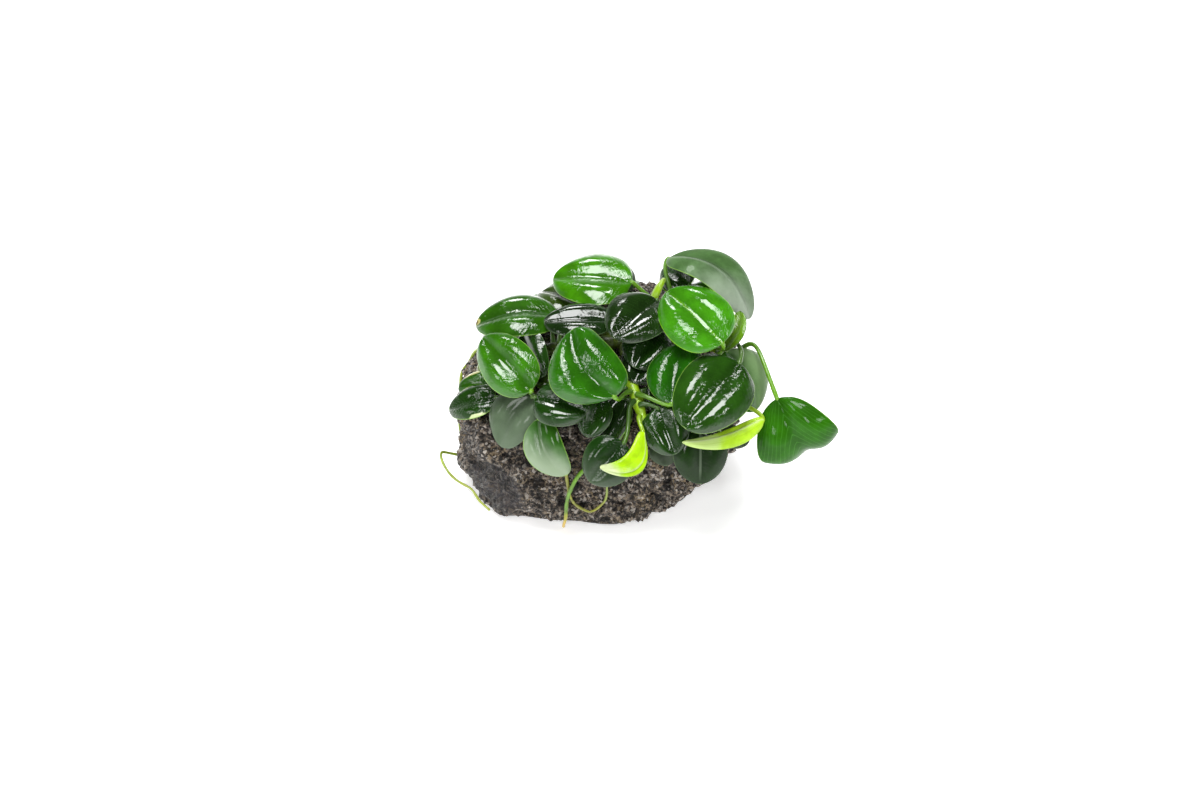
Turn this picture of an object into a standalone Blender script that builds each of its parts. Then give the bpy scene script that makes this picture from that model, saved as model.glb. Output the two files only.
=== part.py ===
"""A dwarf anubias growing on a lump of lava stone.

Everything is laid out in millimetres, with the origin at the middle of the stone's flat underside,
+X to the right, +Y to the back and +Z up, and is turned into metres when a mesh is made.
Each leaf is one solid: a stalk that starts on the rhizome and a blade that ends in a tip.
"""

import math

import bmesh
import bpy
from mathutils import Vector, noise
from mathutils.bvhtree import BVHTree

MM = 0.001  # one millimetre in metres
GAP = 0.35  # left between a piece and what it touches

# Stone: a blocky egg, worn flat on several sides and higher at the back.
STONE_CENTRE = Vector((0, 3, 20))
STONE_HALF_SIZE = Vector((42.5, 34, 33))
STONE_BLOCKINESS = 3.6  # 2 is an egg, more is squarer
STONE_ROUGHNESS = 1.3
STONE_FLATS = (  # (outward direction, distance from the stone's centre)
    ((-0.10, -0.22, 0.97), 22.5),
    ((0.62, -0.03, -0.79), 23.0),
    ((-0.80, -0.35, -0.45), 43.0),
    ((-0.08, -0.75, -0.66), 34.0),
    ((-0.10, -0.90, 0.42), 33.0),
    ((-0.45, 0.35, 0.82), 29.0),
    ((0.75, -0.25, 0.60), 37.5),
    ((0.30, 0.90, -0.30), 32.0),
    ((-0.55, 0.80, 0.10), 37.0),
    ((-0.97, -0.10, 0.20), 40.5),
    ((0.50, -0.30, -0.80), 28.0),
)

# Rhizome: creeping branches as (route, radius at the start, radius at the growing tip).
RHIZOMES = {
    "rhizome_main": (
        ((-35, -3, 41), (-18, 0, 44), (0, 2, 46), (18, 2, 47.5), (32, 1, 48), (41, -5, 46.5)), 2.0, 2.2),
    "rhizome_front": (((8, -1.5, 46.5), (8.5, -11, 47), (10, -19, 45.5), (13, -27, 40)), 2.2, 1.7),
    "rhizome_left": (((-18, -3.5, 44.5), (-20, -11, 44.5), (-21.5, -19, 43), (-21, -27, 41)), 2.0, 1.7),
    "rhizome_back": (((2, 5.5, 47), (0, 14, 49), (-4, 24, 47)), 2.1, 1.7),
    "rhizome_back_right": (((20, 5.5, 48.5), (22, 14, 52), (24, 22, 54)), 2.0, 1.6),
}
RHIZOME_SIDES = 8
RHIZOME_STEP = 4.5

# Roots: (route, thickness, distance kept from the stone). A route follows the stone's skin where the
# stone is in its way, and the thick front root hangs over the loop behind it.
ROOTS = {
    "root_left_loop": (
        ((-35, 0, 42), (-38, 16, 34), (-43, 15, 22), (-41, 8, 10), (-42, -3, 8.5), (-48.5, -9, 13.5),
         (-46.5, -15, 11.5), (-43, -19, 10.5), (-39, -22, 10), (-36.5, -25, 8), (-33.5, -27, 6)), 1.0, GAP),
    "root_front_thick": (
        ((9, -25, 38), (2, -31, 32), (-6, -33, 25), (-9.5, -33, 17), (-10.5, -31, 8), (-11, -28.5, 1.5)),
        1.3, 1.9),
    "root_front_loop": (
        ((-12, -31, 36), (-10.5, -33, 29), (-9.5, -33, 20), (-8.5, -33, 15), (-6, -32, 11),
         (-2.5, -31.5, 9.5), (1, -32, 13), (2, -33, 17), (2, -33, 22)), 0.9, GAP),
    "root_back": (((4, 31, 46), (8, 38, 35), (9, 38, 22), (14, 35, 9), (17, 34, 1.5)), 1.0, GAP),
    "root_back_left": (
        ((-31, 1, 42.5), (-35, 18, 36), (-32, 28, 27), (-26, 34, 16), (-27, 33, 4)), 0.9, GAP),
}
ROOT_SIDES = 6
ROOT_STEP = 4

# Leaves: name, blade base, blade tip, direction the blade faces, blade width, arch along it, droop of
# its edges, sideways bow and, where they differ, thickness and egg. Arch and bow are shares of the
# blade's length and droop is a share of its width. Inner leaves come first.
LEAVES = (
    ("leaf_back_mid", (6, 26, 50), (8, 40, 37), (0.1, 0.8, 0.6), 15, 0.12, 0.06, 0),
    ("leaf_back_mid_left", (-6, 27, 49), (-12, 41, 38), (-0.2, 0.8, 0.6), 17, 0.12, 0.06, 0),
    ("leaf_back_left_high", (-16, 14, 49), (-25, 29, 42), (-0.4, 0.5, 0.8), 17, 0.12, 0.06, 0),
    ("leaf_back_left_low", (-26, 12, 44), (-33, 24, 33), (-0.6, 0.6, 0.5), 14, 0.12, 0.06, 0),
    ("leaf_back_right", (27, 24, 53), (33, 37, 41), (0.3, 0.8, 0.6), 17, 0.12, 0.06, 0),
    ("leaf_right_back", (31, 11, 50), (38, 23, 40), (0.6, 0.5, 0.7), 14, 0.12, 0.06, 0),
    ("leaf_left_under", (-31, -18, 42), (-45, -15.5, 35.5), (-0.4, -0.3, 0.9), 12, 0.10, 0.06, 0),
    ("leaf_left_torn", (-32, -12, 43), (-43, -9, 40), (-0.3, -0.4, 0.9), 10, 0.10, 0.06, 0),
    ("leaf_grey_left", (-20, -23, 46), (-29.5, -29.5, 33), (-0.4, -0.7, 0.6), 15.2, 0.09, 0.06, 0.09),
    ("leaf_dark_narrow", (-23, -3.5, 55), (-16.5, -18, 50), (-0.6, -0.4, 0.7), 11, 0.12, 0.08, 0),
    ("leaf_olive_mid", (-12.5, -13, 47), (-20, -14, 46), (-0.2, -0.7, 0.7), 9, 0.08, 0.05, 0),
    ("leaf_behind_left", (-6, 11, 55), (-18, 20, 53), (-0.1, 0.2, 1.0), 16, 0.10, 0.06, 0),
    ("leaf_far_left", (-12.5, 2.5, 56.5), (-37, 1, 54), (-0.2, 0.0, 1.0), 21, 0.13, 0.06, 0),
    ("leaf_top_dark", (3.5, -4, 60), (-16.5, -4, 59), (0.0, -0.1, 1.0), 15, 0.06, 0.06, 0),
    ("leaf_back_grey", (5.5, 14, 56.5), (0.5, 31, 58.5), (0.1, 0.1, 1.0), 14.5, 0.12, 0.06, 0),
    ("leaf_low_behind", (6.5, -21, 43.5), (0, -31, 34), (0.0, -0.7, 0.7), 13, 0.06, 0.05, 0.1),
    ("leaf_low_mid_dark", (0.5, -24.5, 47), (-4, -34, 40), (0.0, -0.7, 0.7), 10, 0.10, 0.06, 0),
    ("leaf_slit", (17, -18, 47), (15.5, -25, 42.5), (0.0, -0.6, 0.8), 6.5, 0.08, 0.05, 0),
    ("leaf_low_pale", (18.5, -31.5, 36), (19.5, -34.5, 29.5), (0.0, -0.9, 0.5), 9, 0.08, 0.05, 0),
    ("leaf_stack_low", (15.5, -5.5, 50.5), (10, -18, 46.5), (0.0, -0.5, 0.9), 14, 0.08, 0.06, 0),
    ("leaf_stack_mid", (17.5, -3, 56), (10, -15.5, 51.5), (0.1, -0.4, 0.9), 15, 0.08, 0.06, 0),
    ("leaf_low_right_small", (36, -24, 32.5), (44.5, -23, 30), (0.3, -0.6, 0.7), 7, 0.08, 0.05, 0),
    ("leaf_low_right_dark", (17, -26.5, 44.5), (22, -36, 35), (0.0, -0.8, 0.6), 14, 0.08, 0.06, 0),
    ("leaf_low_right", (29.5, -30.5, 39), (29.5, -37.5, 25), (0.1, -0.9, 0.4), 16, 0.06, 0.05, 0),
    ("leaf_right_behind", (37.5, -8.5, 52), (46, -18, 37), (0.6, -0.4, 0.7), 17.5, 0.12, 0.03, -0.12),
    ("leaf_back_top_dark", (27.5, 18, 57), (20, 28, 56.5), (-0.3, -0.4, 0.8), 12, 0.10, 0.06, 0),
    ("leaf_low_left", (-18, -29.5, 43), (-10, -39, 29.5), (-0.1, -0.8, 0.6), 11.5, 0.10, 0.0, 0.12),
    ("leaf_dark_left_mid", (-19, -25, 47.5), (-4, -31, 46.5), (-0.2, -0.5, 0.9), 14.5, 0.10, 0.06, 0),
    ("leaf_bright_left", (-20, -25, 50), (-34.5, -7.5, 56), (-0.4, -0.4, 0.8), 16, 0.10, 0.06, 0),
    ("leaf_mid_right", (21.5, -26, 44), (26, -8.5, 53), (-0.1, -0.4, 0.9), 16.5, 0.08, 0.06, -0.05),
    ("leaf_low_mid", (7, -36.5, 39.5), (-3, -42.5, 30), (-0.1, -0.8, 0.6), 15, 0.06, 0.05, 0),
    ("leaf_round_dark", (17, 3, 62.5), (4, -13, 60.5), (0.1, -0.3, 1.0), 18, 0.08, 0.06, 0),
    ("leaf_top_left", (9.5, 13, 62), (-14, 17, 60.5), (-0.1, -0.1, 1.0), 23, 0.06, 0.04, 0),
    ("leaf_curled_right", (37, -8.5, 51), (43, 1, 58.5), (-0.5, -0.3, 0.8), 7, 0.05, 0.0, 0.16),
    ("leaf_bright_right", (36.5, -14, 56), (20.5, 4, 61.5), (-0.1, -0.4, 0.9), 20.5, 0.08, 0.06, 0),
    ("leaf_top_right", (20.5, 20.5, 64.5), (44.5, 5.5, 53), (0.3, 0.25, 0.9), 29, 0.24, 0.05, 0),
    ("leaf_centre", (4, -31, 52.5), (-8, -14, 64), (-0.1, -0.5, 0.8), 21, 0.10, 0.06, -0.16),
    ("leaf_big_dark", (41, -17, 54), (24.5, -36, 45), (0.1, -0.5, 0.9), 22, 0.08, 0.06, 0),
    ("leaf_drooping_right",
     (52.5, -20, 43), (63, -18, 23), (0.03, -0.97, 0.06), 25, 0.40, 0.04, 0, 0.55, -0.08),
)

# Young leaves, still rolled: name, base, tip, direction faced, width, arch, droop, bow, thickness, egg.
YOUNG_LEAVES = (
    ("young_front", (12.5, -34, 41), (0, -45, 37), (0.0, -0.8, 0.6), 7.5, 0.02, 0.0, -0.30, 1.4, 0.2),
    ("young_right", (48, -27.5, 41), (24, -35.5, 39), (0.0, -0.8, 0.6), 6, 0.02, 0.0, -0.10, 2.0, 0.4),
    ("young_top", (16, 10, 56), (20, 15, 61.5), (-0.5, -0.5, 0.7), 3, 0.12, 0.0, 0.0, 1.6, 0.3),
)
STALK_RADIUS = 0.65
SHEATH_RADIUS = 0.95  # where a stalk clasps the rhizome
BLADE_THICKNESS = 0.55
SHOULDER = 0.05  # rise of the blade on each side of its midrib, as a share of its width
EGG = 0.14  # how far a blade's outline is an egg, widest towards the stalk
# How far a stalk swings out, as a share of its reach, and how steeply it climbs to its blade.
STALK_SWINGS = ((0.3, 1.2), (0.2, 1.2), (0.4, 0.4), (0.2, 0.2), (0.3, 2.5), (0.1, 1.0), (0.5, 1.2))
FULLNESS = 0.85  # less than 1 makes a blade blunter than an egg at its ends
STALK_RINGS = 4
BLADE_RINGS = 7  # steps from a blade's base to its tip
LIFT_STEP = 0.5
MOST_LIFTS = 16
MOST_DROPS = 5
MOST_FEET_TRIED = 80
FOOT_SPACING = 2.3
TURN_COST = 10  # millimetres of reach a stalk may gain to leave the rhizome straight towards its blade

# Colour and roughness of each kind of piece, and of the leaves that differ from the common green.
COLOURS = {
    "stone": ((0.045, 0.040, 0.042), 0.75),
    "rhizome": ((0.16, 0.24, 0.03), 0.45),
    "root": ((0.30, 0.42, 0.08), 0.5),
    "leaf": ((0.03, 0.12, 0.02), 0.22),
    "young": ((0.45, 0.62, 0.03), 0.3),
}
BRIGHT_LEAF = ((0.07, 0.34, 0.015), 0.2)
BRIGHT_LEAVES = ("leaf_top_left", "leaf_bright_left", "leaf_centre", "leaf_bright_right", "leaf_mid_right",
                 "leaf_drooping_right", "leaf_behind_left", "leaf_curled_right")


# Shapes ---------------------------------------------------------------------------------------------


def smooth_route(points, step):
    """Points about a step apart along a smooth curve through the given ones."""
    known = [Vector(p) for p in points]
    ends = [known[0] * 2 - known[1]] + known + [known[-1] * 2 - known[-2]]
    route = []
    for before, start, end, after in zip(ends, ends[1:], ends[2:], ends[3:]):
        parts = max(2, math.ceil((end - start).length / step))
        for t in (i / parts for i in range(parts)):
            route.append(0.5 * (2 * start + (end - before) * t
                                + (2 * before - 5 * start + 4 * end - after) * t ** 2
                                + (3 * start - before - 3 * end + after) * t ** 3))
    return route + [known[-1]]


def directions(route):
    """The curve's direction at each of its points."""
    last = len(route) - 1
    return [(route[min(i + 1, last)] - route[max(i - 1, 0)]).normalized() for i in range(last + 1)]


def tube_rings(route, radii, sides, first_side=Vector((0, 0, 1))):
    """Rings of points round a route, each carried on from the one before without twisting."""
    rings, side = [], first_side
    for centre, along, radius in zip(route, directions(route), radii):
        side = (side - along * side.dot(along)).normalized()
        other = along.cross(side)
        turns = [2 * math.pi * k / sides for k in range(sides)]
        rings.append([centre + radius * (math.cos(a) * side + math.sin(a) * other) for a in turns])
    return rings


def loft(rings, first_point, last_point):
    """(points, faces) of a closed skin over the rings, drawn together to a point at each end."""
    sides = len(rings[0])
    points = [p for ring in rings for p in ring] + [first_point, last_point]
    first, last = len(points) - 2, len(points) - 1
    faces = []
    for r in range(len(rings) - 1):
        for k in range(sides):
            a, b = r * sides + k, r * sides + (k + 1) % sides
            faces.append((a, b, b + sides, a + sides))
    top = (len(rings) - 1) * sides
    for k in range(sides):
        faces.append((first, (k + 1) % sides, k))
        faces.append((last, top + k, top + (k + 1) % sides))
    return points, faces


def tree_of(points, faces):
    return BVHTree.FromPolygons(points, faces)


def add_object(name, points, faces):
    """One named object, with its own material, from points in millimetres."""
    mesh = bpy.data.meshes.new(name)
    mesh.from_pydata([p * MM for p in points], [], faces)
    shape = bmesh.new()
    shape.from_mesh(mesh)
    bmesh.ops.recalc_face_normals(shape, faces=shape.faces)
    shape.to_mesh(mesh)
    shape.free()
    mesh.shade_smooth()
    mesh.materials.append(make_material(name))
    piece = bpy.data.objects.new(name, mesh)
    bpy.context.scene.collection.objects.link(piece)
    return piece


def make_material(name):
    """The material of one piece, in the colour of its kind."""
    colour, roughness = BRIGHT_LEAF if name in BRIGHT_LEAVES else COLOURS[name.split("_")[0]]
    material = bpy.data.materials.new(name)
    material.use_nodes = True
    shader = material.node_tree.nodes["Principled BSDF"]
    shader.inputs["Base Color"].default_value = (*colour, 1)
    shader.inputs["Roughness"].default_value = roughness
    return material


# Stone ----------------------------------------------------------------------------------------------


def stone_skin():
    """(points, faces) of the stone: a blocky egg, worn flat, roughened and cut level at its underside."""
    shape = bmesh.new()
    bmesh.ops.create_icosphere(shape, subdivisions=4, radius=1)
    power = STONE_BLOCKINESS
    for vert in shape.verts:
        way = vert.co.normalized()
        egg = way / sum(abs(c) ** power for c in way) ** (1 / power)
        spot = Vector(a * b for a, b in zip(egg, STONE_HALF_SIZE))
        for flat, distance in STONE_FLATS:
            flat = Vector(flat).normalized()
            beyond = spot.dot(flat) - distance
            if beyond > 0:
                spot -= flat * beyond * 0.85
        lump = noise.fractal(spot * 0.055, 1.0, 2.0, 3) + 0.5 * noise.noise(spot * 0.19)
        vert.co = STONE_CENTRE + spot + way * STONE_ROUGHNESS * lump
    shape.verts.ensure_lookup_table()
    bmesh.ops.bisect_plane(shape, geom=shape.verts[:] + shape.edges[:] + shape.faces[:],
                           plane_co=(0, 0, 0), plane_no=(0, 0, -1), clear_outer=True)
    rim = [e for e in shape.edges if e.is_boundary]
    bmesh.ops.contextual_create(shape, geom=rim)
    thin_out(shape)
    points = [v.co.copy() for v in shape.verts]
    faces = [tuple(v.index for v in f.verts) for f in shape.faces]
    shape.free()
    return points, faces


def thin_out(shape):
    """Merges the stone's shortest edges above its base, so that its facets stay few."""
    shape.verts.index_update()
    bmesh.ops.dissolve_degenerate(shape, dist=0.5, edges=shape.edges)
    bmesh.ops.triangulate(shape, faces=shape.faces)
    shape.verts.index_update()


# Rhizome and roots ----------------------------------------------------------------------------------


def rhizome_skin(points, start_radius, tip_radius, stone):
    """(points, faces) and the route and radii of one branch, knobbly where old leaves stood."""
    route = [off_stone(p, stone, start_radius + 2 * GAP) for p in smooth_route(points, RHIZOME_STEP)]
    last = len(route) - 1
    radii = []
    for i in range(last + 1):
        along = i / last
        radius = start_radius + (tip_radius - start_radius) * along
        radii.append(radius * (1 + 0.08 * math.cos(math.pi * i)))
    radii[-1] *= 0.6
    rings = tube_rings(route, radii, RHIZOME_SIDES)
    ahead = directions(route)[-1] * tip_radius * 0.5
    return loft(rings, route[0], route[-1] + ahead), route, radii


def root_skin(points, thickness, clearance, stone):
    """(points, faces) of a root that keeps clear of the stone's skin."""
    route = [off_stone(p, stone, thickness / 2 + clearance) for p in smooth_route(points, ROOT_STEP)]
    last = len(route) - 1
    radii = [thickness / 2 * (1 - 0.35 * i / last) for i in range(last + 1)]
    rings = tube_rings(route, radii, ROOT_SIDES)
    return loft(rings, route[0], route[-1])


def off_stone(point, stone, distance):
    """The point, moved outwards if it is in the stone or nearer its skin than distance."""
    nearest, outward, _, apart = stone.find_nearest(point)
    inside = (point - nearest).dot(outward) < 0
    if not inside and apart >= distance:
        return point
    return nearest + outward * distance


# Leaves ---------------------------------------------------------------------------------------------


class Foot:
    """A place on a rhizome where a leaf's stalk can start."""

    def __init__(self, point, outward):
        self.point = point
        self.outward = outward


def possible_feet(branches, stone):
    """Places round each branch that don't face the stone."""
    feet = []
    for _, route, radii in branches:
        spans = zip(route[:-1], route[1:], radii[:-1], radii[1:])
        for start, end, start_radius, end_radius in spans:
            along = (end - start).normalized()
            side = Vector((0, 0, 1)).cross(along).normalized()
            up = along.cross(side)
            for share in (0.25, 0.75):
                centre = start.lerp(end, share)
                radius = start_radius + (end_radius - start_radius) * share
                for k in range(8):
                    a = 2 * math.pi * k / 8
                    outward = math.cos(a) * side + math.sin(a) * up
                    point = centre + outward * (radius + GAP)
                    if stone.find_nearest(point)[3] > SHEATH_RADIUS + GAP:
                        feet.append(Foot(point, outward))
    return feet


class Blade:
    """The place and shape of one blade, with its own axes: along it, across it and the way it faces."""

    def __init__(self, base, tip, face, width, arch, droop, bow, thickness=BLADE_THICKNESS, egg=EGG):
        self.base = Vector(base)
        self.tip = Vector(tip)
        self.width = width
        self.arch = arch
        self.droop = droop
        self.bow = bow
        self.thickness = thickness
        self.egg = egg
        self.length = (self.tip - self.base).length
        self.along = (self.tip - self.base).normalized()
        face = Vector(face)
        self.face = (face - self.along * face.dot(self.along)).normalized()
        self.across = self.along.cross(self.face)

    def lifted(self, height):
        """The same blade moved the way it faces."""
        move = self.face * height
        return Blade(self.base + move, self.tip + move, self.face, self.width, self.arch, self.droop,
                     self.bow, self.thickness, self.egg)

    def ring(self, step, spare=0.0):
        """Eight points round the blade at one step from base to tip: five on top and three below."""
        turn = math.pi * step / BLADE_RINGS
        share = (1 - math.cos(turn)) / 2
        half = self.width / 2 * math.sin(turn) ** FULLNESS * (1 + self.egg * math.cos(turn)) + spare
        curve = (self.face * self.arch + self.across * self.bow) * 4 * share * (1 - share)
        middle = self.base + (self.along * share + curve) * self.length
        slope = 4 * self.arch * (1 - 2 * share)
        upward = (self.face - self.along * slope).normalized()
        full = math.sin(turn)
        edge = middle - upward * self.droop * self.width * full
        shoulder = middle + upward * SHOULDER * self.width * full
        thick = upward * (self.thickness / 2 + spare)
        side = self.across * half
        return [edge - side, shoulder - side / 2 + thick, middle + thick, shoulder + side / 2 + thick,
                edge + side, shoulder + side / 2 - thick, middle - thick, shoulder - side / 2 - thick]

    def skin(self, spare=0.0):
        """(points, faces) of the blade alone."""
        rings = [self.ring(step, spare) for step in range(1, BLADE_RINGS)]
        return loft(rings, self.base, self.tip + self.along * spare)


def stalk_rings(foot, blade, sway, climb, spare=0.0):
    """Rings from the foot on the rhizome to the blade's base, the first round and tight to the rhizome."""
    reach = (blade.base - foot.point).length
    arrive = (blade.along + blade.face * climb).normalized()
    controls = (foot.point, foot.point + foot.outward * reach * sway,
                blade.base - arrive * reach * sway, blade.base)
    rings = []
    for i in range(STALK_RINGS):
        t = i / (STALK_RINGS - 1)
        weights = ((1 - t) ** 3, 3 * t * (1 - t) ** 2, 3 * t ** 2 * (1 - t), t ** 3)
        centre = sum((p * w for p, w in zip(controls, weights)), Vector())
        slopes = (-3 * (1 - t) ** 2, 3 * (1 - t) ** 2 - 6 * t * (1 - t),
                  6 * t * (1 - t) - 3 * t ** 2, 3 * t ** 2)
        along = sum((p * w for p, w in zip(controls, slopes)), Vector()).normalized()
        across = (blade.across - along * blade.across.dot(along)).normalized()
        upward = across.cross(along)
        radius = (SHEATH_RADIUS if i == 0 else STALK_RADIUS) + spare
        rings.append([centre + radius * (math.cos(a) * across + math.sin(a) * upward)
                      for a in (math.pi - math.pi / 4 * k for k in range(8))])
    return rings


def leaf_skin(foot, blade, sway, climb):
    rings = stalk_rings(foot, blade, sway, climb) + [blade.ring(step) for step in range(1, BLADE_RINGS)]
    return loft(rings, foot.point, blade.tip)


def free_stalk(blade, feet, taken, placed, rhizomes):
    """The nearest foot, and the swing of a stalk from it to the blade, that touch nothing, or None."""
    def cost(foot):
        way = blade.base - foot.point
        return way.length + TURN_COST * (1 - foot.outward.dot(way.normalized()))
    free = [f for f in feet if all((f.point - t.point).length > FOOT_SPACING for t in taken)]
    near = sorted(free, key=cost)
    for foot in near[:MOST_FEET_TRIED]:
        for sway, climb in STALK_SWINGS:
            rings = stalk_rings(foot, blade, sway, climb, GAP)
            stalk = tree_of(*loft(rings[1:], rings[1][0], blade.base))
            if any(stalk.overlap(other) for other in placed):
                continue
            whole = tree_of(*leaf_skin(foot, blade, sway, climb))
            if not any(whole.overlap(other) for other in placed + rhizomes):
                return foot, sway, climb
    return None


def place_leaf(row, feet, taken, placed, rhizomes):
    """Moves a blade to and fro the way it faces until it and its stalk touch nothing already there."""
    name, *shape = row
    for lift in sorted(range(-MOST_DROPS, MOST_LIFTS), key=abs):
        blade = Blade(*shape).lifted(lift * LIFT_STEP)
        roomy = tree_of(*blade.skin(GAP))
        if any(roomy.overlap(other) for other in placed + rhizomes):
            continue
        stalk = free_stalk(blade, feet, taken, placed, rhizomes)
        if stalk:
            return *stalk, blade
    raise RuntimeError(f"{name} finds no room")


def main():
    for old in list(bpy.data.objects):
        bpy.data.objects.remove(old)

    points, faces = stone_skin()
    add_object("stone", points, faces)
    stone = tree_of(points, faces)

    branches = []
    for name, (points, start_radius, tip_radius) in RHIZOMES.items():
        skin, route, radii = rhizome_skin(points, start_radius, tip_radius, stone)
        add_object(name, *skin)
        branches.append((skin, route, radii))
    rhizomes = [tree_of(*skin) for skin, _, _ in branches]

    placed = [stone]
    for name, root in ROOTS.items():
        skin = root_skin(*root, stone)
        add_object(name, *skin)
        placed.append(tree_of(*skin))

    feet, taken = possible_feet(branches, stone), []
    for row in YOUNG_LEAVES[:1] + LEAVES + YOUNG_LEAVES[1:]:
        foot, sway, climb, blade = place_leaf(row, feet, taken, placed, rhizomes)
        skin = leaf_skin(foot, blade, sway, climb)
        add_object(row[0], *skin)
        placed.append(tree_of(*skin))
        taken.append(foot)


main()
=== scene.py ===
"""A dwarf anubias growing on a lump of dark lava stone, in a pale studio.

The modelled frame gives the place and outline of every piece. This script gives each piece its fine
surface: leaves with a sunken midrib and a thin bright margin, rolled young leaves, a knobbly rhizome,
smooth roots and a pitted stone. Lengths are in metres, except in the tables, where they are millimetres.
"""

import math

import bmesh
import bpy
import numpy as np
from bpy.props import FloatProperty, FloatVectorProperty, IntProperty, PointerProperty
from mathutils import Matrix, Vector, noise


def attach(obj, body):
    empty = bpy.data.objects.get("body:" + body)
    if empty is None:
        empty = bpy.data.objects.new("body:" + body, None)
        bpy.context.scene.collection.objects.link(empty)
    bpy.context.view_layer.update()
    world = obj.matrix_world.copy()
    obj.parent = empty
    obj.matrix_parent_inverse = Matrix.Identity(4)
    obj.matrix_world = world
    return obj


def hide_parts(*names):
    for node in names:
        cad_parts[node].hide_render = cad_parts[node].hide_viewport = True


bl_info = {
    "name": "Anubias on Stone",
    "version": (1, 0, 0),
    "blender": (4, 5, 0),
    "location": "3D View > Sidebar > Anubias",
    "description": "Gives the leaves, roots, rhizome and stone of a planted lava stone their fine surfaces",
    "category": "Add Mesh",
}

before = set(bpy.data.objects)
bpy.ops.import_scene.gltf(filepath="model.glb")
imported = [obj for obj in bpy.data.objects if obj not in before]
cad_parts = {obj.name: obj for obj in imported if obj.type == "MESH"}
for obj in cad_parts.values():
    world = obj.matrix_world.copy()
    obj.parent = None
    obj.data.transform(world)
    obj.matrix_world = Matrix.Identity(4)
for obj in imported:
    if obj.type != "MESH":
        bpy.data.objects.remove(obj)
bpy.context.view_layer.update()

MM = 0.001
CM = 0.01
WELD = 0.002 * MM  # points nearer to each other than this are one point

# Greens of the grown leaves.
FRESH = (0.042, 0.200, 0.001)
LEAF_GREEN = (0.022, 0.120, 0.001)
MID_GREEN = (0.022, 0.100, 0.002)
DEEP = (0.009, 0.040, 0.002)
BLACK_GREEN = (0.007, 0.024, 0.003)
OLIVE = (0.030, 0.066, 0.005)
# A leaf green greyed by a painted sheen: the reflection of the pale surroundings painted into the colour.
PAINTED_SHEEN_GREY_GREEN = (0.045, 0.070, 0.035)
LIME = (0.26, 0.56, 0.02)
PALE_LIME = (0.24, 0.44, 0.07)
DULL_RIM = (0.085, 0.150, 0.055)
# Grey of a painted sheen, a reflection of the pale surroundings painted into a leaf's colour; also the
# colour of two pale midribs and of one margin.
SHEEN = (0.16, 0.21, 0.14)
BROWN = (0.08, 0.045, 0.015)
STRAW = (0.40, 0.38, 0.14)
CREAM = (0.56, 0.64, 0.34)


class LeafLook:
    """How one grown leaf differs from the others.

    sheen is (how much, across, along, start): a painted grey sheen, a reflection painted into the colour,
    that grows across the blade and along it.
    scars are patches as (across, along, reach across, reach along, colour, whether the middle is brown),
    across from -1 to 1 and along from 0 at the stalk to 1 at the tip. lean is how far a vein runs towards
    the tip on its way to the margin.
    """

    def __init__(self, colour, midrib=PALE_LIME, midrib_strength=0.0, veins=0.05, lean=0.26,
                 vein_count=17, rim=PALE_LIME, sheen=(0.0, 0.0, 0.0, 0.0), sheen_colour=SHEEN, scars=(),
                 gloss=1.0, ripple=0.14, cushion=0.1):
        self.colour = colour
        self.midrib = midrib
        self.midrib_strength = midrib_strength
        self.veins = veins
        self.lean = lean
        self.vein_count = vein_count
        self.rim = rim
        self.sheen = sheen
        self.sheen_colour = sheen_colour
        self.scars = scars
        self.gloss = gloss
        self.ripple = ripple
        self.cushion = cushion


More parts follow.
